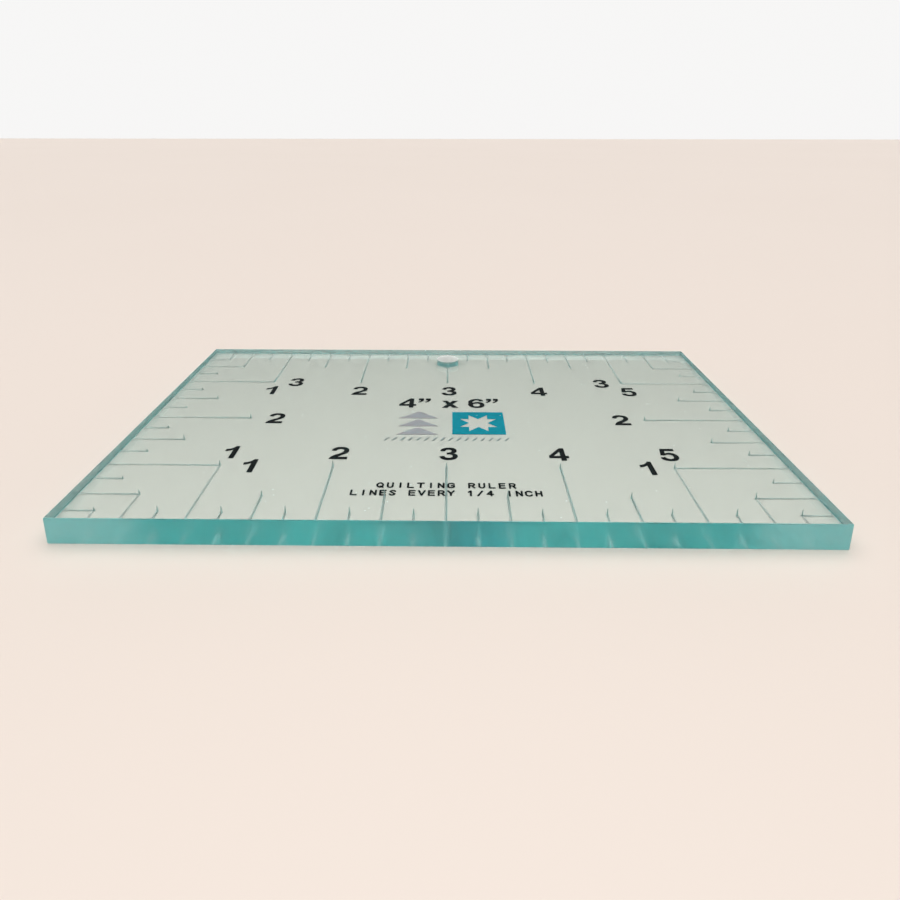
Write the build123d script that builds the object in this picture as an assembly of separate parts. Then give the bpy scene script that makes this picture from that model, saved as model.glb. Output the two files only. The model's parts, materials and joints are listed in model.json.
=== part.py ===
from build123d import *
import os

# A clear acrylic quilting ruler, 6 by 4 inches, lying flat with its printed and ruled underside at z = 0.
# X runs along the length, Y from the front edge to the back edge, and the origin is the underside's centre.
# All sizes are in millimetres.

INCH = 25.4
LENGTH = 6 * INCH
WIDTH = 4 * INCH
THICKNESS = 5.6
EDGE_BREAK = 0.15

HOLE_RADIUS = 3.25
HOLE_FROM_BACK = 8.9

# Lines are ruled in from every edge at each quarter inch.
# They are cut into the underside, and each one ends in a narrow pit.
STEP = INCH / 4
STEPS_PER_INCH = 4
LINE_WIDTH = 0.3
LINE_DEPTH = 0.3
PIT_RADIUS = 0.24
PIT_TIP_RADIUS = 0.06
PIT_DEPTH = {"front": 3.6, "left": 3.8, "right": 3.4, "back": 1.0}
QUARTER_PIT_DEPTH = {"front": 3.6, "left": 1.8, "right": 1.8, "back": 0.7}

# Print is let into the underside, flush with it.
INK_DEPTH = 0.1

NUMERAL_STRETCH = 1.05
NUMERAL_HEIGHT = 6.0
NUMERAL_ROW_Y = {"front": -19.0, "back": 19.1}
NUMERAL_ROW_SHIFT = 0.5
NUMERAL_COLUMN_X = {"left": -44.3, "right": 44.8}

LABEL_HEIGHT = 6.1
LABEL_Y = 10.5
LABEL_PLACES = (
    ("4", -10.7), ("quote", -7.2), ("quote", -5.3),
    ("x", 0.8),
    ("6", 7.9), ("quote", 11.3), ("quote", 13.2),
)

GEESE_CENTRE = (-7.3, -2.1)
GEESE_WIDTH = 10.2
GOOSE_HEIGHT = 4.2
GOOSE_GAP = 0.6
GEESE_COUNT = 3

STAR_CENTRE = (8.0, -2.1)
STAR_PATCH = 13.3
STAR_UNIT = 2.4

STITCH_Y = -11.4
STITCH_COUNT = 16
STITCH_PITCH = 1.95
STITCH_HEIGHT = 1.6
STITCH_WIDTH = 0.45
STITCH_SLANT = 0.9

NOTE_HEIGHT = 2.2
NOTE_PEN = 0.42
NOTES = {
    "note_line_upper": ("QUILTING RULER", -33.4, 2.16),
    "note_line_lower": ("LINES EVERY 1/4 INCH", -36.5, 2.03),
}

# Bold figures on a grid 100 high. A pair of points is an arc: its middle, then its end.
# Figures are stretched a little sideways when they are drawn.
GRID = 100
FIGURES = {
    "1": [[(31, 0), (50, 0), (50, 100), (35, 100), ((25, 83), (4, 75)), (4, 57), ((19, 62), (31, 71))]],
    "2": [[
        (2, 0), (69, 0), (69, 18), (31, 18), ((42, 29), (57, 43)), ((66, 55), (69, 70)),
        ((60, 92), (36, 100)), ((13, 92), (4, 70)), (22, 68), ((26, 80), (36, 84)),
        ((46, 80), (50, 70)), ((45, 56), (30, 42)), ((11, 23), (2, 0)),
    ]],
    "3": [[
        (4, 72), ((13, 92), (35, 100)), ((57, 94), (65, 74)), ((61, 60), (50, 53)),
        ((64, 45), (69, 28)), ((60, 8), (35, 0)), ((11, 8), (2, 28)), (20, 31),
        ((25, 20), (35, 16)), ((46, 20), (50, 30)), ((46, 41), (35, 45)), (28, 44), (28, 59),
        ((41, 62), (46, 72)), ((43, 81), (35, 84)), ((26, 81), (22, 70)),
    ]],
    "4": [
        [
            (43, 0), (62, 0), (62, 20), (73, 20), (73, 37), (62, 37),
            (62, 100), (45, 100), (1, 37), (1, 20), (43, 20),
        ],
        [(18, 37), (43, 37), (43, 73)],
    ],
    "5": [[
        (2, 28), ((12, 7), (34, 0)), ((60, 9), (69, 34)), ((60, 58), (39, 67)), (26, 63),
        (29, 82), (65, 82), (65, 99), (15, 99), (6, 47), (22, 45), ((28, 50), (35, 52)),
        ((46, 47), (50, 33)), ((46, 20), (34, 16)), ((25, 20), (20, 31)),
    ]],
    "6": [
        [
            (66, 75), ((57, 93), (37, 100)), ((11, 87), (2, 49)), ((10, 12), (36, 0)),
            ((60, 9), (69, 33)), ((61, 56), (41, 65)), ((29, 62), (20, 54)),
            ((25, 76), (37, 84)), ((44, 82), (48, 73)),
        ],
        [(36, 49), ((46, 45), (50, 32)), ((46, 19), (36, 15)), ((25, 20), (21, 33)), ((25, 45), (36, 49))],
    ],
    "x": [[
        (0, 0), (24, 0), (36, 19), (49, 0), (73, 0), (48, 39),
        (72, 76), (48, 76), (36, 57), (24, 76), (1, 76), (24, 39),
    ]],
    "quote": [[(5, 102), (26, 102), ((24, 74), (6, 57)), (1, 64), ((11, 70), (14, 80)), (5, 80)]],
}

# Small capitals as pen strokes on a grid 10 high and 7 wide.
SMALL_GRID = 10
SMALL_WIDTH = 7
STROKES = {
    "1": [[(1.5, 7.5), (4, 10), (4, 0)]],
    "4": [[(5, 0), (5, 10), (0.5, 3)], [(0.5, 3), (7, 3)]],
    "/": [[(1, 0), (6, 10)]],
    "C": [[(6.6, 8), ((3.4, 10), (0, 5)), ((3.4, 0), (6.6, 2))]],
    "E": [[(6.5, 10), (0.5, 10), (0.5, 0), (6.5, 0)], [(0.5, 5.2), (6, 5.2)]],
    "G": [[(6.6, 8.2), ((3.4, 10), (0, 5)), ((3.6, 0), (6.8, 2)), (6.8, 4.6), (3.8, 4.6)]],
    "H": [[(0.5, 0), (0.5, 10)], [(6.5, 0), (6.5, 10)], [(0.5, 5), (6.5, 5)]],
    "I": [[(3.5, 0), (3.5, 10)]],
    "L": [[(0.5, 10), (0.5, 0), (6.5, 0)]],
    "N": [[(0.5, 0), (0.5, 10), (6.5, 0), (6.5, 10)]],
    "Q": [[(3.5, 10), ((0, 5), (3.5, 0))], [(3.5, 0), ((7, 5), (3.5, 10))], [(4.2, 2.6), (7, -0.4)]],
    "R": [
        [(0.5, 0), (0.5, 10), (4.2, 10), ((6.6, 7.4), (4.2, 4.8))],
        [(0.5, 4.8), (4.2, 4.8)],
        [(3.8, 4.8), (6.8, 0)],
    ],
    "S": [[(6.4, 8.2), ((3.5, 10), (0.8, 7.6)), (6.2, 2.6), ((3.5, 0), (0.4, 1.9))]],
    "T": [[(0, 10), (7, 10)], [(3.5, 10), (3.5, 0)]],
    "U": [[(0.5, 10), (0.5, 3), ((3.5, 0), (6.5, 3)), (6.5, 10)]],
    "V": [[(0, 10), (3.5, 0), (7, 10)]],
    "Y": [[(0, 10), (3.5, 4.6), (7, 10)], [(3.5, 4.6), (3.5, 0)]],
}


def path(steps):
    """The edges from the first point through each step, a corner or an arc's middle and end."""
    edges = []
    here = steps[0]
    for step in steps[1:]:
        if isinstance(step[0], tuple):
            middle, end = step
            edges.append(ThreePointArc(here, middle, end))
        else:
            end = step
            edges.append(Line(here, end))
        here = end
    return edges, here


def closed_face(steps):
    """A flat face inside the steps, closed by a straight side where they don't meet their start."""
    edges, end = path(steps)
    if end != steps[0]:
        edges.append(Line(end, steps[0]))
    return make_face(edges)


def figure(name, height, x, y):
    """A bold figure of this height. Its middle is at x, and the middle of its grid's height is at y."""
    outline, *holes = FIGURES[name]
    face = closed_face(outline)
    for hole in holes:
        face -= closed_face(hole)
    size = height / GRID
    wide = size * NUMERAL_STRETCH if name.isdigit() else size
    middle = face.bounding_box().center().X * wide
    return Pos(x - middle, y - height / 2) * scale(face, by=(wide, size, 1))


def pen_stroke(steps, width):
    """A round-ended stroke of a pen along the steps."""
    edges, _ = path(steps)
    return make_face(Wire(edges).offset_2d(width / 2))


def note(text, y, pitch):
    """A centred line of small capitals, with the same room for each."""
    size = (NOTE_HEIGHT - NOTE_PEN) / SMALL_GRID
    letters = []
    for place, letter in enumerate(text):
        if letter == " ":
            continue
        x = (place - (len(text) - 1) / 2) * pitch
        strokes = [pen_stroke(steps, NOTE_PEN / size) for steps in STROKES[letter]]
        face = Sketch() + strokes
        letters.append(Pos(x - SMALL_WIDTH / 2 * size, y - SMALL_GRID / 2 * size) * scale(face, by=size))
    return letters


def size_label():
    """The ruler's size, four inches by six."""
    return [figure(name, LABEL_HEIGHT, x, LABEL_Y) for name, x in LABEL_PLACES]


def flying_geese():
    """A column of triangles, a pieced quilt pattern."""
    x, y = GEESE_CENTRE
    pitch = GOOSE_HEIGHT + GOOSE_GAP
    goose = closed_face([
        (-GEESE_WIDTH / 2, -GOOSE_HEIGHT / 2),
        (GEESE_WIDTH / 2, -GOOSE_HEIGHT / 2),
        (0, GOOSE_HEIGHT / 2),
    ])
    rows = [row - (GEESE_COUNT - 1) / 2 for row in range(GEESE_COUNT)]
    return [Pos(x, y + row * pitch) * goose for row in rows]


def star_patch():
    """A square patch with an eight-pointed quilt star left clear in it."""
    quarter = [(-1, 1), (-1, 2), (0, 1), (1, 2)]
    points = []
    for _ in range(4):
        points += [(px * STAR_UNIT, py * STAR_UNIT) for px, py in quarter]
        quarter = [(py, -px) for px, py in quarter]
    return [Pos(*STAR_CENTRE) * (Rectangle(STAR_PATCH, STAR_PATCH) - closed_face(points))]


def stitch_row():
    """A row of slanted stitches."""
    half_height = STITCH_HEIGHT / 2
    half_slant = STITCH_SLANT / 2
    stitch = closed_face([
        (-half_slant - STITCH_WIDTH / 2, -half_height),
        (-half_slant + STITCH_WIDTH / 2, -half_height),
        (half_slant + STITCH_WIDTH / 2, half_height),
        (half_slant - STITCH_WIDTH / 2, half_height),
    ])
    first = -(STITCH_COUNT - 1) / 2 * STITCH_PITCH
    return [Pos(first + place * STITCH_PITCH, STITCH_Y) * stitch for place in range(STITCH_COUNT)]


def all_print():
    """Every printed piece by name, as a list of flat faces on the underside."""
    prints = {}
    for row, y in NUMERAL_ROW_Y.items():
        for inches in range(1, round(LENGTH / INCH)):
            x = inches * INCH - LENGTH / 2 + NUMERAL_ROW_SHIFT
            prints[f"{row}_numeral_{inches}"] = [figure(str(inches), NUMERAL_HEIGHT, x, y)]
    for column, x in NUMERAL_COLUMN_X.items():
        for inches in range(1, round(WIDTH / INCH)):
            y = inches * INCH - WIDTH / 2
            prints[f"{column}_numeral_{inches}"] = [figure(str(inches), NUMERAL_HEIGHT, x, y)]
    prints["size_label"] = size_label()
    prints["grey_geese_motif"] = flying_geese()
    prints["teal_star_motif"] = star_patch()
    prints["grey_stitch_row"] = stitch_row()
    for name, (text, y, pitch) in NOTES.items():
        prints[name] = note(text, y, pitch)
    return prints


def line_length(step):
    """A whole inch is ruled one inch in from the edge, a half inch 1/2 and a quarter inch 1/4."""
    if step % STEPS_PER_INCH == 0:
        return INCH
    if step % 2 == 0:
        return INCH / 2
    return INCH / 4


def ruled_lines():
    """The ruled lines as rectangles, and the depth of the pit at each line's inner end."""
    corner_x, corner_y = LENGTH / 2, WIDTH / 2
    lines = []
    pits = {}
    for edge in PIT_DEPTH:
        runs_in_y = edge in ("front", "back")
        span = LENGTH if runs_in_y else WIDTH
        inward = 1 if edge in ("front", "left") else -1
        for step in range(1, round(span / STEP)):
            reach = line_length(step)
            depth = QUARTER_PIT_DEPTH[edge] if reach < INCH / 2 else PIT_DEPTH[edge]
            along = step * STEP - span / 2
            if runs_in_y:
                outer, inner = -inward * corner_y, -inward * (corner_y - reach)
                end = (along, inner)
                lines.append(Pos(along, (outer + inner) / 2) * Rectangle(LINE_WIDTH, reach + LINE_WIDTH))
            else:
                outer, inner = -inward * corner_x, -inward * (corner_x - reach)
                end = (inner, along)
                lines.append(Pos((outer + inner) / 2, along) * Rectangle(reach + LINE_WIDTH, LINE_WIDTH))
            # Where two lines meet at a corner of a square, the first one's pit serves both.
            pits.setdefault((round(end[0], 2), round(end[1], 2)), depth)
    return lines, pits


def plate(ink):
    """The clear plate, with its edges broken, its hanging hole, ruled lines, pits and beds for the ink."""
    on_floor = (Align.CENTER, Align.CENTER, Align.MIN)
    blank = Box(LENGTH, WIDTH, THICKNESS, align=on_floor)
    blank = chamfer(blank.edges(), EDGE_BREAK)
    hole = Pos(0, WIDTH / 2 - HOLE_FROM_BACK, 0) * Cylinder(HOLE_RADIUS, THICKNESS, align=on_floor)
    lines, pits = ruled_lines()
    grooves = extrude(Sketch() + lines, LINE_DEPTH)
    drilled = [
        Pos(x, y, 0) * Cone(PIT_RADIUS, PIT_TIP_RADIUS, depth, align=on_floor)
        for (x, y), depth in pits.items()
    ]
    return blank - [hole, grooves] - drilled - ink


def write(name, shape):
    """One STEP file for a named piece."""
    shape.label = name
    export_step(shape, f"parts/{name}.step")
    print(f"{name}: {len(shape.solids())} solids, {shape.volume:.3f} mm3")


os.makedirs("parts", exist_ok=True)
printed = {name: [extrude(face, INK_DEPTH) for face in faces] for name, faces in all_print().items()}
all_ink = [solid for pieces in printed.values() for solid in pieces]
write("acrylic_plate", plate(all_ink))
for name, pieces in printed.items():
    solids = [solid for piece in pieces for solid in piece.solids()]
    write(name, Compound(children=solids))
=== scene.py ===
# %% [markdown]
# # A clear quilting ruler
# A quilting ruler is one sheet of clear acrylic, cut square by a laser. Lines are engraved into its
# underside every quarter inch and the figures are printed there too, so that they touch the cloth.
# Clear plastic has no colour of its own to paint: what shows is what bends, bounces and is soaked up
# inside it. So this lesson spends its effort on true thickness, true edges and a true absorption.

# %% Load the frame
import json
import math

import bmesh
import bpy
from mathutils import Matrix, Vector


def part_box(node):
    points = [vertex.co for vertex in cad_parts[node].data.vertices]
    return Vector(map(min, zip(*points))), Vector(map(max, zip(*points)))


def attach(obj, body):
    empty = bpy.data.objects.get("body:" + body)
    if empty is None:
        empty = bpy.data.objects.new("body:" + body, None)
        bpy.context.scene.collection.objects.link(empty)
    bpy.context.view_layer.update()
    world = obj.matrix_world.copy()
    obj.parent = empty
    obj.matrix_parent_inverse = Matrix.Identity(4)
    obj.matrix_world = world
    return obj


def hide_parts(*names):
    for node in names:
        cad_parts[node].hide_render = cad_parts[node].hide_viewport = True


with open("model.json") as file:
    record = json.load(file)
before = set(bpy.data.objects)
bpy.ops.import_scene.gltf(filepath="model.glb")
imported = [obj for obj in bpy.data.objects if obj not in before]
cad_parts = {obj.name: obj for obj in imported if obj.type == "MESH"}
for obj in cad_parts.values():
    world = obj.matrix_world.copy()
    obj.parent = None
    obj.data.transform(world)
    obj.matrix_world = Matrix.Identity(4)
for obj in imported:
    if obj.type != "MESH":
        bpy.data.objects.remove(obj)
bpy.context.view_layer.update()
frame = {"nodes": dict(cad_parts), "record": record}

print("pieces from CAD:", len(frame["nodes"]))

# %% [markdown]
# ## Sizes
# The main sizes come from the sheet's own box and from the hanging hole's place in the record, so the
# looks can't drift from the design. Small sizes that only the eye needs, such as how much the laser
# softens a corner, are set here. Blender works in metres, so MM turns millimetres into its units.

# %% Sizes from the frame
MM = 0.001
INCH = 25.4 * MM
STEPS_PER_INCH = 4
STEPS_PER_HALF_INCH = 2
STEP = INCH / STEPS_PER_INCH

sheet_low, sheet_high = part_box("acrylic_plate")
LENGTH = sheet_high.x - sheet_low.x
WIDTH = sheet_high.y - sheet_low.y
THICKNESS = sheet_high.z - sheet_low.z
hole = next(m for m in frame["record"]["mounts"] if m["name"] == "hanging_hole")
HOLE_RADIUS = hole["dims"]["r_mm"] * MM
HOLE_Y = hole["pos_m"][1]
print(f"sheet {LENGTH / MM:.1f} x {WIDTH / MM:.1f} x {THICKNESS / MM:.1f} mm")
print(f"hanging hole {2 * HOLE_RADIUS / MM:.2f} mm across")

# %% Sizes that only the eye needs
INK_PROUD = 0.02 * MM
EDGE_BREAK = 0.18 * MM
EDGE_SEGMENTS = 3
EDGE_PROFILE = 0.5
RIM_FLARE = 0.12 * MM
HOLE_SEGMENTS = 96
FURROW_WIDTH = 0.65 * MM
LONG_EDGE_FURROW_DEPTH = 0.038 * MM
END_FURROW_DEPTH = 0.05 * MM
FURROW_FACETS = 12
PIT_RADIUS = 0.16 * MM
PIT_TIP_RADIUS = 0.05 * MM
PIT_DEPTHS = {"Front": 3.6 * MM, "Left": 3.8 * MM, "Right": 4.4 * MM, "Back": 1.0 * MM}
QUARTER_PIT_SHARES = {"Front": 1.0, "Left": 0.5, "Right": 0.75, "Back": 0.7}

# %% [markdown]
# ## Helpers for node trees
# Shader trees and Geometry Nodes trees are built the same way: make a node, set its options, and
# give each input either a value or a wire from another node. One small helper does all of that, and
# a few more, built on it, give the patterns and sums that the materials and the cutters share.

# %% Node helpers
def add(tree, kind, inputs=None, **options):
    """A new node with these options. An input, by name or place, is a value or another node's socket."""
    node = tree.nodes.new(kind)
    for option, value in options.items():
        setattr(node, option, value)
    for key, value in (inputs or {}).items():
        if isinstance(value, bpy.types.NodeSocket):
            tree.links.new(value, node.inputs[key])
        else:
            node.inputs[key].default_value = value
    return node


def math_node(tree, operation, *values):
    """The result of one Math node."""
    return add(tree, "ShaderNodeMath", dict(enumerate(values)), operation=operation).outputs[0]


def vector(tree, x=0.0, y=0.0, z=0.0):
    """A vector from its three parts."""
    return add(tree, "ShaderNodeCombineXYZ", {0: x, 1: y, 2: z}).outputs[0]


def noise(tree, place, scale, detail):
    """Soft random spots, with values between 0 and 1."""
    return add(tree, "ShaderNodeTexNoise", {"Vector": place, "Scale": scale, "Detail": detail}).outputs[0]


def remap(tree, value, low, high, start=0.0, end=1.0, **options):
    """A value that runs from start to end, changed so that it runs from low to high."""
    inputs = {0: value, 1: start, 2: end, 3: low, 4: high}
    return add(tree, "ShaderNodeMapRange", inputs, **options).outputs[0]


def tilted(tree, height, strength, distance):
    """A surface's normal, tilted as a pattern of heights tilts it."""
    inputs = {"Height": height, "Strength": strength, "Distance": distance}
    return add(tree, "ShaderNodeBump", inputs).outputs[0]


def mixed(tree, factor, first, second):
    """Two colours mixed. The Mix node's colours go in by places 6 and 7, and the mix leaves by 2."""
    inputs = {"Factor": factor, 6: first, 7: second}
    return add(tree, "ShaderNodeMix", inputs, data_type="RGBA").outputs[2]


# %% A new material
def empty_material(name):
    """A material whose tree is still empty, the tree, and the object coordinates in it."""
    material = bpy.data.materials.new(name)
    material.use_nodes = True
    tree = material.node_tree
    tree.nodes.clear()
    return material, tree, add(tree, "ShaderNodeTexCoord").outputs["Object"]


# %% [markdown]
# ## The acrylic itself
# Pale green acrylic looks almost white through its thickness and deep teal through its edge, where
# the light has run the whole width of the sheet. A painted green could only match one of the two.
# Absorption matches both: red light fades by half in 39 mm, green and blue in 216 mm. Cycles takes
# the absorption as a density and as the colour that is let through.

# %% Absorption of the acrylic
ABSORPTION_DENSITY = 18.0
ABSORPTION_COLOUR = (0.0, 0.822, 0.822, 1)
ACRYLIC_IOR = 1.49
for name, share in zip(("red", "green", "blue"), ABSORPTION_COLOUR):
    fade = ABSORPTION_DENSITY * (1 - share)
    print(f"{name} halves in {math.log(2) / fade / MM:.0f} mm")


def acrylic(name, roughness, bump=None, tint=(1, 1, 1, 1), clearness=1.0):
    """Clear acrylic. roughness, bump and, where it varies, clearness are functions of the tree."""
    material, tree, place = empty_material(name)
    surface = add(tree, "ShaderNodeBsdfPrincipled", {
        "Base Color": tint,
        "IOR": ACRYLIC_IOR,
        "Transmission Weight": clearness(tree, place) if callable(clearness) else clearness,
        "Roughness": roughness(tree, place),
    })
    if bump:
        tree.links.new(bump(tree, place), surface.inputs["Normal"])
    volume = add(tree, "ShaderNodeVolumeAbsorption", {
        "Color": ABSORPTION_COLOUR,
        "Density": ABSORPTION_DENSITY,
    })
    add(tree, "ShaderNodeOutputMaterial", {"Surface": surface.outputs[0], "Volume": volume.outputs[0]})
    return material


# %% [markdown]
# ## Finishes of the sheet
# The sheet's two faces are as the maker cast them: glossy, with a very slight wave, faint smears and
# specks of dust. Its cut edges are satin, so they show no pictures, only an even glow of the light
# that the sheet carries to them, with a painted paleness towards the corners. The engraved lines are
# a fine frost, half clear and half white, and the pits and the hanging hole have rougher walls. The
# hole's wall is the whitest of them.

# %% Polished faces
SMEAR_SCALE = 38
SMEAR_SPAN = (0.45, 0.75)
SMEAR_ROUGHNESS = 0.05
SPECK_SCALE = 260
SPECK_SIZE = 0.045
SPECK_ROUGHNESS = 0.5
WAVE_SCALE = 22
WAVE_STRENGTH = 0.03
WAVE_HEIGHT = 0.2 * MM


def face_roughness(tree, place):
    """Nearly perfect gloss, with soft smears and a sprinkle of dull specks."""
    smear = remap(tree, noise(tree, place, SMEAR_SCALE, 3), 0.0, SMEAR_ROUGHNESS, *SMEAR_SPAN)
    cells = add(tree, "ShaderNodeTexVoronoi", {"Vector": place, "Scale": SPECK_SCALE})
    speck = math_node(tree, "LESS_THAN", cells.outputs["Distance"], SPECK_SIZE)
    return math_node(tree, "MULTIPLY_ADD", speck, SPECK_ROUGHNESS, smear)


def face_bump(tree, place):
    """A long, very shallow wave, as cast sheet has."""
    return tilted(tree, noise(tree, place, WAVE_SCALE, 1), WAVE_STRENGTH, WAVE_HEIGHT)


polished_face = acrylic("polished_face", face_roughness, face_bump)

# %% Laser-cut edges
EDGE_TINT = (0.62, 0.95, 0.955, 1)
EDGE_ROUGHNESS = (0.42, 0.56)
EDGE_PATCH_SCALE = 120
# Painted light: the cut edges turn milky towards the corners, a painted paleness at their ends.
PAINTED_PALE_FROM = 0.7
PAINTED_PALE_FULL = 0.86
PAINTED_PALENESS = 0.2
RIPPLE_SCALE = 900
RIPPLE_STRETCH = (1, 1, 0.06)
RIPPLE_STRENGTH = 0.12
RIPPLE_HEIGHT = 0.05 * MM


def edge_roughness(tree, place):
    """A satin cut, a little finer in some places than in others."""
    return remap(tree, noise(tree, place, EDGE_PATCH_SCALE, 2), *EDGE_ROUGHNESS)


def edge_bump(tree, place):
    """Fine upright ripples: noise that changes fast along the edge and slowly up it."""
    stretched = add(tree, "ShaderNodeMapping", {"Vector": place, "Scale": RIPPLE_STRETCH}).outputs[0]
    return tilted(tree, noise(tree, stretched, RIPPLE_SCALE, 2), RIPPLE_STRENGTH, RIPPLE_HEIGHT)


def edge_clearness_with_painted_paleness(tree, place):
    """Clear along most of the cut, milkier near the corners: painted light that pales the ends."""
    parts = add(tree, "ShaderNodeSeparateXYZ", {0: place}).outputs
    along = math_node(tree, "MULTIPLY", math_node(tree, "ABSOLUTE", parts["X"]), 2 / LENGTH)
    across = math_node(tree, "MULTIPLY", math_node(tree, "ABSOLUTE", parts["Y"]), 2 / WIDTH)
    corner = math_node(tree, "MINIMUM", along, across)
    return remap(
        tree, corner, 1.0, 1 - PAINTED_PALENESS, PAINTED_PALE_FROM, PAINTED_PALE_FULL, interpolation_type="SMOOTHSTEP",
    )


laser_cut_edge = acrylic("laser_cut_edge", edge_roughness, edge_bump, EDGE_TINT, edge_clearness_with_painted_paleness)

# %% Burnt and drilled walls
FROST_SCALE = 1500
FINE_FROST = (0.2, 0.45)
COARSE_FROST = (0.45, 0.8)
ENGRAVED_TINT = (1, 0.91, 0.88, 1)
PIT_TINT = (1, 0.95, 0.92, 1)
DRILLED_TINT = (1, 0.97, 0.96, 1)


def frost(low, high):
    """A function that makes a wall's roughness, which goes from low to high in fine spots."""
    def roughness(tree, place):
        return remap(tree, noise(tree, place, FROST_SCALE, 2), low, high)
    return roughness


engraved_frost = acrylic("engraved_frost", frost(*FINE_FROST), tint=ENGRAVED_TINT, clearness=0.5)
pit_wall = acrylic("pit_wall", frost(*COARSE_FROST), tint=PIT_TINT, clearness=0.75)
drilled_wall = acrylic("drilled_wall", frost(*COARSE_FROST), tint=DRILLED_TINT, clearness=0.2)
finishes = (polished_face, laser_cut_edge, engraved_frost, pit_wall, drilled_wall)
print("acrylic finishes:", ", ".join(finish.name for finish in finishes))

# %% [markdown]
# ## The ruled lines, grown with Geometry Nodes
# The lines follow one rule on every edge: a whole inch is ruled one inch in, a half inch 1/2 inch
# and a quarter inch 1/4 inch. A row of points a quarter inch apart carries the rule in its index,
# and one furrow cutter stands on each point, stretched to that point's reach. The cutter is a lying
# cylinder, squashed to an oval, so what it leaves is the rounded furrow that a laser burns. Furrows
# from the long edges are a little shallower, because they run away from the eye and would look
# heavier than the others.

# %% A row of points along one edge
def size_inputs(tree, sizes):
    """Named inputs for a Geometry Nodes tree, as the sockets that they come in by."""
    for name in sizes:
        tree.interface.new_socket(name, in_out="INPUT", socket_type="NodeSocketFloat")
    return add(tree, "NodeGroupInput").outputs


def is_multiple(tree, number, base):
    """1 where a whole number is a multiple of the base, and 0 elsewhere."""
    return math_node(tree, "LESS_THAN", math_node(tree, "MODULO", number, base), 0.5)


def ruled_row(tree, given, span, distance):
    """Points along the edge that lies distance in front of the centre, and each one's reach inwards."""
    count = math_node(tree, "SUBTRACT", math_node(tree, "DIVIDE", span, given["Step"]), 1)
    count = math_node(tree, "ROUND", count)
    first = math_node(tree, "MULTIPLY_ADD", span, -0.5, given["Step"])
    row = add(tree, "GeometryNodeMeshLine", {
        "Count": count,
        "Start Location": vector(tree, first, math_node(tree, "MULTIPLY", distance, -1)),
        "Offset": vector(tree, given["Step"]),
    })
    number = math_node(tree, "ADD", add(tree, "GeometryNodeInputIndex").outputs[0], 1)
    half = is_multiple(tree, number, STEPS_PER_HALF_INCH)
    whole = is_multiple(tree, number, STEPS_PER_INCH)
    # The reach in inches: 1/4, with 1/4 more at a half inch, and another 1/2 at a whole inch.
    share = math_node(tree, "MULTIPLY_ADD", half, 0.25, 0.25)
    share = math_node(tree, "MULTIPLY_ADD", whole, 0.5, share)
    return row.outputs[0], math_node(tree, "MULTIPLY", share, given["Inch"])


# %% The furrow tree
FURROW_SIZES = ("Edge Length", "Edge Distance", "Step", "Inch", "Width", "Depth")
# In widths: a cutter starts one width outside the edge and ends 0.35 of a width past the line's end.
FURROW_OVERRUN = 1.35


def furrow_tree():
    """Cutters for the furrows of two facing edges."""
    tree = bpy.data.node_groups.new("ruled_furrows", "GeometryNodeTree")
    tree.interface.new_socket("Geometry", in_out="OUTPUT", socket_type="NodeSocketGeometry")
    given = size_inputs(tree, FURROW_SIZES)
    outside = math_node(tree, "ADD", given["Edge Distance"], given["Width"])
    row, reach = ruled_row(tree, given, given["Edge Length"], outside)
    radius = math_node(tree, "MULTIPLY", given["Width"], 0.5)
    rod = add(tree, "GeometryNodeMeshCylinder", {
        "Vertices": FURROW_FACETS,
        "Radius": radius,
        "Depth": 1.0,
    })
    lying = add(tree, "GeometryNodeTransform", {
        "Geometry": rod.outputs["Mesh"],
        "Rotation": (math.pi / 2, 0, 0),
        "Translation": (0, 0.5, 0),
    })
    oval = math_node(tree, "DIVIDE", given["Depth"], radius)
    squashed = add(tree, "GeometryNodeTransform", {
        "Geometry": lying.outputs[0],
        "Scale": vector(tree, 1.0, 1.0, oval),
    })
    run = math_node(tree, "MULTIPLY_ADD", given["Width"], FURROW_OVERRUN, reach)
    furrows = add(tree, "GeometryNodeInstanceOnPoints", {
        "Points": row,
        "Instance": squashed.outputs[0],
        "Scale": vector(tree, 1.0, run, 1.0),
    }).outputs[0]
    turned = add(tree, "GeometryNodeTransform", {
        "Geometry": furrows,
        "Rotation": (0, 0, math.pi),
    }).outputs[0]
    both = add(tree, "GeometryNodeJoinGeometry")
    tree.links.new(furrows, both.inputs[0])
    tree.links.new(turned, both.inputs[0])
    real = add(tree, "GeometryNodeRealizeInstances", {"Geometry": both.outputs[0]})
    frosted = add(tree, "GeometryNodeSetMaterial", {
        "Geometry": real.outputs[0],
        "Material": engraved_frost,
    })
    add(tree, "NodeGroupOutput", {"Geometry": frosted.outputs[0]})
    return tree


# %% [markdown]
# ## The pits at the lines' ends
# Where a line ends, the beam stands still for a moment and burns a short pit straight up into the
# sheet. Seen at a slant, each pit is a little upright tail. Its cutter is a narrow cone on every
# line's inner end, and a random share makes some pits deeper than others. Where two lines meet, their
# points are merged first, so that one pit serves both.

# %% The pit tree
QUARTER_NAMES = {edge: f"{edge} Quarter" for edge in PIT_DEPTHS}
PIT_SIZES = (
    "Length", "Width", "Step", "Inch", "Radius", "Tip Radius", *PIT_DEPTHS, *QUARTER_NAMES.values(),
)
EDGE_TURNS = {"Front": 0, "Right": math.pi / 2, "Back": math.pi, "Left": -math.pi / 2}
PIT_SHARES = (0.75, 1.15)
PIT_SEED = 4
PIT_TURN = 0.3


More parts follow.
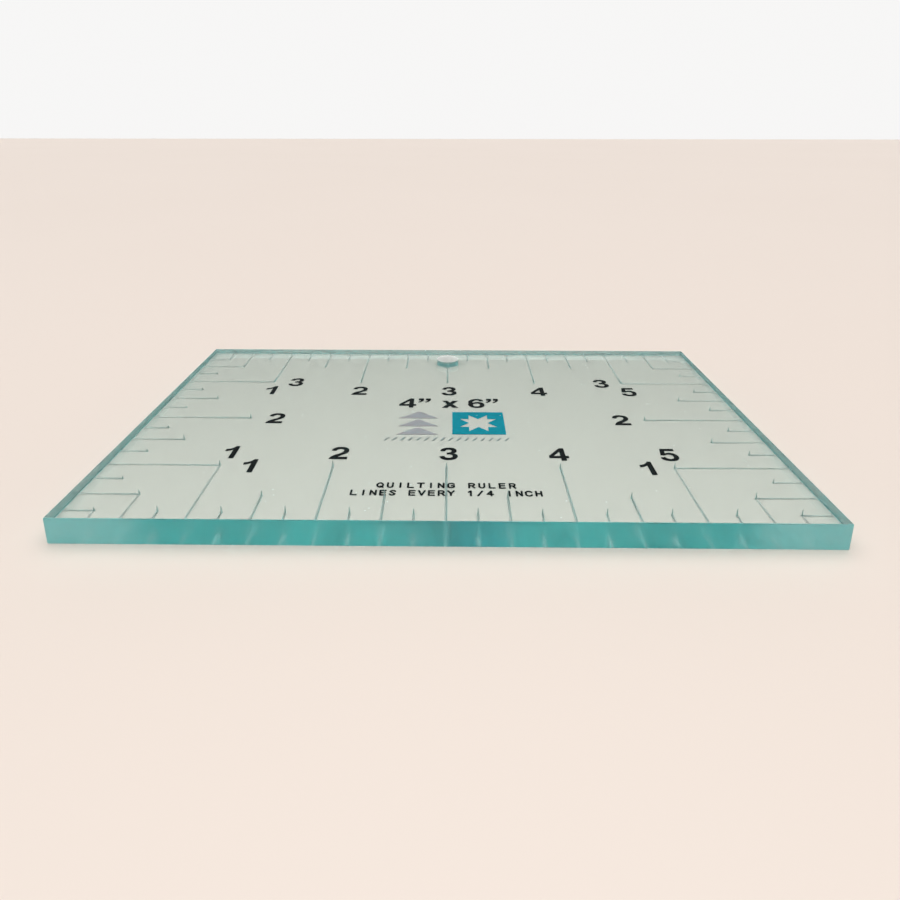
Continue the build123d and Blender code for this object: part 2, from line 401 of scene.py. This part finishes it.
def pit_tree():
    """Cutters for the pits where the laser dwelt at the inner end of each line."""
    tree = bpy.data.node_groups.new("line_end_pits", "GeometryNodeTree")
    tree.interface.new_socket("Geometry", in_out="OUTPUT", socket_type="NodeSocketGeometry")
    given = size_inputs(tree, PIT_SIZES)
    rows = add(tree, "GeometryNodeJoinGeometry")
    for edge, turn in EDGE_TURNS.items():
        long_edge = edge in ("Front", "Back")
        span = given["Length"] if long_edge else given["Width"]
        across = given["Width"] if long_edge else given["Length"]
        row, reach = ruled_row(tree, given, span, math_node(tree, "MULTIPLY", across, 0.5))
        moved = add(tree, "GeometryNodeSetPosition", {"Geometry": row, "Offset": vector(tree, y=reach)})
        half = math_node(tree, "MULTIPLY", given["Inch"], 0.5)
        short = math_node(tree, "LESS_THAN", math_node(tree, "ADD", reach, given["Radius"]), half)
        less = math_node(tree, "SUBTRACT", given[QUARTER_NAMES[edge]], given[edge])
        marked = add(tree, "GeometryNodeStoreNamedAttribute", {
            "Geometry": moved.outputs[0],
            "Name": "pit_depth",
            "Value": math_node(tree, "MULTIPLY_ADD", short, less, given[edge]),
        })
        turned = add(tree, "GeometryNodeTransform", {
            "Geometry": marked.outputs[0],
            "Rotation": (0, 0, turn),
        })
        tree.links.new(turned.outputs[0], rows.inputs[0])
    ends = add(tree, "GeometryNodeMergeByDistance", {
        "Geometry": rows.outputs[0],
        "Distance": given["Radius"],
    })
    cone = add(tree, "GeometryNodeMeshCone", {
        "Vertices": FURROW_FACETS,
        "Radius Top": given["Tip Radius"],
        "Radius Bottom": given["Radius"],
        "Depth": 1.0,
    })
    depth = add(tree, "GeometryNodeInputNamedAttribute", {"Name": "pit_depth"}).outputs[0]
    shares = add(tree, "FunctionNodeRandomValue", {
        "Min": PIT_SHARES[0],
        "Max": PIT_SHARES[1],
        "Seed": PIT_SEED,
    }, data_type="FLOAT")
    share = next(socket for socket in shares.outputs if socket.enabled)
    pits = add(tree, "GeometryNodeInstanceOnPoints", {
        "Points": ends.outputs[0],
        "Instance": cone.outputs["Mesh"],
        "Rotation": (0, 0, PIT_TURN),
        "Scale": vector(tree, 1.0, 1.0, math_node(tree, "MULTIPLY", depth, share)),
    }).outputs[0]
    real = add(tree, "GeometryNodeRealizeInstances", {"Geometry": pits})
    frosted = add(tree, "GeometryNodeSetMaterial", {"Geometry": real.outputs[0], "Material": pit_wall})
    add(tree, "NodeGroupOutput", {"Geometry": frosted.outputs[0]})
    return tree


# %% Grow the cutters
def new_object(name, mesh):
    """An object for a mesh, at the origin."""
    thing = bpy.data.objects.new(name, mesh)
    bpy.context.scene.collection.objects.link(thing)
    return thing


def as_plain_mesh(thing):
    """Replaces an object's mesh with what its modifiers make of it, and removes them."""
    made = bpy.data.meshes.new_from_object(thing.evaluated_get(bpy.context.evaluated_depsgraph_get()))
    thing.modifiers.clear()
    thing.data = made


def grow(name, tree, sizes):
    """A plain mesh grown by a Geometry Nodes tree from named sizes."""
    thing = new_object(name, bpy.data.meshes.new(name))
    modifier = thing.modifiers.new("grow", "NODES")
    modifier.node_group = tree
    for item in tree.interface.items_tree:
        if item.name in sizes:
            modifier[item.identifier] = sizes[item.name]
    as_plain_mesh(thing)
    print(f"{name}: {len(thing.data.polygons)} faces")
    return thing


furrows = furrow_tree()
shared = {"Step": STEP, "Inch": INCH, "Width": FURROW_WIDTH}
long_furrows = grow("long_edge_furrows", furrows, shared | {
    "Edge Length": LENGTH, "Edge Distance": WIDTH / 2, "Depth": LONG_EDGE_FURROW_DEPTH,
})
end_furrows = grow("end_furrows", furrows, shared | {
    "Edge Length": WIDTH, "Edge Distance": LENGTH / 2, "Depth": END_FURROW_DEPTH,
})
end_furrows.data.transform(Matrix.Rotation(math.pi / 2, 4, "Z"))
quarter_depths = {
    QUARTER_NAMES[edge]: QUARTER_PIT_SHARES[edge] * depth for edge, depth in PIT_DEPTHS.items()
}
pits = grow("line_end_pits", pit_tree(), PIT_DEPTHS | quarter_depths | {
    "Length": LENGTH, "Width": WIDTH, "Step": STEP, "Inch": INCH,
    "Radius": PIT_RADIUS, "Tip Radius": PIT_TIP_RADIUS,
})

# %% [markdown]
# ## The sheet
# The blank is a box whose edges the laser softened by about a fifth of a millimetre. The hanging
# hole's cutter is a turned shape, flared at both ends, so that the hole gets softened rims in the
# same cut. Furrows, pits and hole are joined and taken away in one Boolean, because cutting one after
# another left gaps where they cross. Each cutter brings its own finish along, so the frost ends up
# exactly where the laser cut. The underside is lifted by the ink's film, so that the ink's top is in
# the plastic and its printed face stands a hair proud.

# %% The blank
LEVEL_ENOUGH = 0.999


def blank():
    """The acrylic blank, polished on both faces and laser-cut round its edges."""
    mesh = bpy.data.meshes.new("acrylic_sheet")
    form = bmesh.new()
    low = Vector((sheet_low.x, sheet_low.y, sheet_low.z + INK_PROUD))
    bmesh.ops.create_cube(form, size=1)
    bmesh.ops.scale(form, vec=sheet_high - low, verts=form.verts)
    bmesh.ops.translate(form, vec=(low + sheet_high) / 2, verts=form.verts)
    bmesh.ops.bevel(
        form, geom=list(form.edges), affect="EDGES",
        offset=EDGE_BREAK, segments=EDGE_SEGMENTS, profile=EDGE_PROFILE,
    )
    for face in form.faces:
        face.material_index = 0 if abs(face.normal.z) > LEVEL_ENOUGH else 1
        face.smooth = face.calc_area() < LENGTH * EDGE_BREAK
    form.to_mesh(mesh)
    form.free()
    mesh.materials.append(polished_face)
    mesh.materials.append(laser_cut_edge)
    return new_object("acrylic_sheet", mesh)


# %% The hole's cutter
def hole_cutter():
    """A turned cutter for the hanging hole, flared where it meets the two faces."""
    low, high = sheet_low.z + INK_PROUD, sheet_high.z
    profile = (
        (HOLE_RADIUS + 2 * RIM_FLARE, low - RIM_FLARE),
        (HOLE_RADIUS, low + RIM_FLARE),
        (HOLE_RADIUS, high - RIM_FLARE),
        (HOLE_RADIUS + 2 * RIM_FLARE, high + RIM_FLARE),
    )
    form = bmesh.new()
    rings = []
    for radius, height in profile:
        ring = []
        for place in range(HOLE_SEGMENTS):
            turn = 2 * math.pi * place / HOLE_SEGMENTS
            x, y = radius * math.cos(turn), HOLE_Y + radius * math.sin(turn)
            ring.append(form.verts.new((x, y, height)))
        rings.append(ring)
    for lower, upper in zip(rings, rings[1:]):
        for place in range(HOLE_SEGMENTS):
            after = (place + 1) % HOLE_SEGMENTS
            form.faces.new((lower[place], lower[after], upper[after], upper[place]))
    form.faces.new(rings[0][::-1])
    form.faces.new(rings[-1])
    mesh = bpy.data.meshes.new("hole_cutter")
    form.to_mesh(mesh)
    form.free()
    mesh.materials.append(drilled_wall)
    return new_object("hole_cutter", mesh)


# %% Cut the sheet
def joined(name, things):
    """One smooth object made of several, which go."""
    form = bmesh.new()
    mesh = bpy.data.meshes.new(name)
    for thing in things:
        first = len(form.faces)
        form.from_mesh(thing.data)
        form.faces.ensure_lookup_table()
        for face in form.faces[first:]:
            finish = thing.data.materials[face.material_index]
            if finish.name not in mesh.materials:
                mesh.materials.append(finish)
            face.material_index = mesh.materials.find(finish.name)
            face.smooth = True
        bpy.data.objects.remove(thing)
    form.to_mesh(mesh)
    form.free()
    return new_object(name, mesh)


def cut(thing, cutter):
    """Takes a cutter out of a thing, and gives the new walls the cutter's finishes."""
    modifier = thing.modifiers.new("cut", "BOOLEAN")
    modifier.operation = "DIFFERENCE"
    modifier.solver = "EXACT"
    modifier.use_self = True
    modifier.material_mode = "TRANSFER"
    modifier.object = cutter
    as_plain_mesh(thing)
    bpy.data.objects.remove(cutter)
    print(f"{thing.name}: {len(thing.data.polygons)} faces after the cut")


def open_edges(mesh):
    """How many edges of a mesh don't have exactly two faces."""
    form = bmesh.new()
    form.from_mesh(mesh)
    count = sum(len(edge.link_faces) != 2 for edge in form.edges)
    form.free()
    return count


sheet = blank()
cut(sheet, joined("all_cutters", (long_furrows, end_furrows, pits, hole_cutter())))
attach(sheet, "root")
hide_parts("acrylic_plate")
print("open edges:", open_edges(sheet.data), "finishes:", [m.name for m in sheet.data.materials])

# %% [markdown]
# ## The print
# The figures are CAD nodes and keep their exact shape; they only need ink. Cured ink is not one flat
# tone: the film is a little thicker in some places than in others and its surface has a fine tooth.
# It wets the plastic, so nothing shines between the two, and the ink's own gloss is almost nil.
# One function mixes every ink from a colour, so black, grey and teal share the same grain.

# %% Inks
INK_GLOSS = 0.08
INK_ROUGHNESS = (0.42, 0.6)
FILM_SCALE = 900
THIN_FILM_GAIN = 1.35
THIN_FILM_LIFT = 0.01
TOOTH_SCALE = 5200
TOOTH_STRENGTH = 0.25
TOOTH_HEIGHT = 0.02 * MM
INKS = {
    "black_ink": (0.006, 0.007, 0.008),
    "grey_ink": (0.46, 0.42, 0.42),
    "light_grey_ink": (0.74, 0.53, 0.57),
    "teal_ink": (0.0, 0.37, 0.50),
}


def ink(name, colour):
    """Cured printing ink with an uneven film and a fine tooth."""
    material, tree, place = empty_material(name)
    film = noise(tree, place, FILM_SCALE, 3)
    tooth = noise(tree, place, TOOTH_SCALE, 2)
    thin = [min(1, part * THIN_FILM_GAIN + THIN_FILM_LIFT) for part in colour]
    surface = add(tree, "ShaderNodeBsdfPrincipled", {
        "Base Color": mixed(tree, film, (*colour, 1), (*thin, 1)),
        "Roughness": remap(tree, film, *INK_ROUGHNESS),
        "Specular IOR Level": INK_GLOSS,
        "Normal": tilted(tree, tooth, TOOTH_STRENGTH, TOOTH_HEIGHT),
    })
    add(tree, "ShaderNodeOutputMaterial", {"Surface": surface.outputs[0]})
    return material


inks = {name: ink(name, colour) for name, colour in INKS.items()}
for part in frame["record"]["subparts"]:
    if part["material_slot"] in inks:
        node = frame["nodes"][part["node"]]
        node.data.materials.clear()
        node.data.materials.append(inks[part["material_slot"]])
print("inks:", ", ".join(inks))

# %% [markdown]
# ## The table, the light and the camera
# Clear things are lit by what is around them, so the light is a sky: a broad glow overhead and a
# softer one all round the horizon. Between the two it is dim, because the top face mirrors that part
# to the eye, and a dim mirror keeps black ink black. The table is a pale, faintly warm laminate, a
# hair below the ruler, because touching faces would fight.

# %% Table
TABLE_GAP = 0.05 * MM
TABLE_SIZE = 6.0
TABLE_COLOUR = (0.815, 0.718, 0.655, 1)
TABLE_CLOUD_COLOUR = (0.835, 0.742, 0.68, 1)
TABLE_CLOUD_SCALE = 3
TABLE_ROUGHNESS = 0.5


def table_finish():
    """Pale, faintly warm laminate with a soft sheen."""
    material, tree, place = empty_material("pale_table")
    cloud = noise(tree, place, TABLE_CLOUD_SCALE, 2)
    surface = add(tree, "ShaderNodeBsdfPrincipled", {
        "Base Color": mixed(tree, cloud, TABLE_COLOUR, TABLE_CLOUD_COLOUR),
        "Roughness": TABLE_ROUGHNESS,
    })
    add(tree, "ShaderNodeOutputMaterial", {"Surface": surface.outputs[0]})
    return material


def table_top():
    """A large flat table under the ruler."""
    mesh = bpy.data.meshes.new("table_top")
    form = bmesh.new()
    bmesh.ops.create_grid(form, x_segments=1, y_segments=1, size=TABLE_SIZE / 2)
    bmesh.ops.translate(form, vec=(0, 0, sheet_low.z - TABLE_GAP), verts=form.verts)
    form.to_mesh(mesh)
    form.free()
    mesh.materials.append(table_finish())
    return new_object("table_top", mesh)


table_top()

# %% Light
DIM_LIGHT = 0.08
OVERHEAD_LIGHT = 2.1
OVERHEAD_FROM = (0.54, 0.9)
HORIZON_LIGHT = 1.0
HORIZON_TO = (0.16, 0.34)
LIGHT_COLOUR = (1.0, 0.985, 0.965, 1)
BACKDROP = (0.93, 0.925, 0.92, 1)


def sky():
    """Light from overhead and from all round the horizon, dim between, behind a plain pale backdrop."""
    world = bpy.data.worlds.new("studio")
    world.use_nodes = True
    tree = world.node_tree
    tree.nodes.clear()
    direction = add(tree, "ShaderNodeTexCoord").outputs["Generated"]
    height = add(tree, "ShaderNodeSeparateXYZ", {0: direction}).outputs["Z"]

    def fade(span, low, high):
        """A light that goes from low to high as the direction rises through a span of heights."""
        return remap(tree, height, low, high, *span, interpolation_type="SMOOTHSTEP")

    overhead = fade(OVERHEAD_FROM, DIM_LIGHT, OVERHEAD_LIGHT)
    strength = math_node(tree, "ADD", overhead, fade(HORIZON_TO, HORIZON_LIGHT, 0))
    studio = add(tree, "ShaderNodeBackground", {"Color": LIGHT_COLOUR, "Strength": strength})
    backdrop = add(tree, "ShaderNodeBackground", {"Color": BACKDROP})
    seen = add(tree, "ShaderNodeLightPath").outputs["Is Camera Ray"]
    both = add(tree, "ShaderNodeMixShader", {0: seen, 1: studio.outputs[0], 2: backdrop.outputs[0]})
    add(tree, "ShaderNodeOutputWorld", {"Surface": both.outputs[0]})
    bpy.context.scene.world = world


sky()

# %% How far the light is followed
scene = bpy.context.scene
scene.view_settings.view_transform = "Standard"
scene.cycles.max_bounces = 32
scene.cycles.glossy_bounces = 24
scene.cycles.transmission_bounces = 24
# Blurring gloss after a bounce would darken everything that is seen through the sheet.
scene.cycles.blur_glossy = 0
print("light bounces:", scene.cycles.max_bounces)

# %% Camera
CAMERA_PLACE = (0.58 * MM, -164.63 * MM, 77.40 * MM)
CAMERA_PITCH = math.radians(17.235)
CAMERA_YAW = math.radians(-0.698)
CAMERA_ROLL = math.radians(0.052)
CAMERA_LENS = 27.724
CAMERA_SENSOR = 36
CAMERA_SHIFT = (0.0094, -0.1272)
CAMERA_NEAR = 5 * MM


def camera():
    """A camera held low over the table, near the front edge."""
    data = bpy.data.cameras.new("camera")
    data.lens = CAMERA_LENS
    data.sensor_width = CAMERA_SENSOR
    data.shift_x, data.shift_y = CAMERA_SHIFT
    data.clip_start = CAMERA_NEAR
    thing = bpy.data.objects.new("camera", data)
    bpy.context.scene.collection.objects.link(thing)
    ahead = Vector((
        math.sin(CAMERA_YAW) * math.cos(CAMERA_PITCH),
        math.cos(CAMERA_YAW) * math.cos(CAMERA_PITCH),
        -math.sin(CAMERA_PITCH),
    ))
    level = Vector((math.cos(CAMERA_YAW), -math.sin(CAMERA_YAW), 0))
    upright = level.cross(ahead)
    right = level * math.cos(CAMERA_ROLL) + upright * math.sin(CAMERA_ROLL)
    up = upright * math.cos(CAMERA_ROLL) - level * math.sin(CAMERA_ROLL)
    turn = Matrix((right, up, -ahead)).transposed()
    thing.matrix_world = Matrix.Translation(CAMERA_PLACE) @ turn.to_4x4()
    return thing


scene.camera = camera()
print("camera at", [round(part / MM) for part in CAMERA_PLACE], "mm")
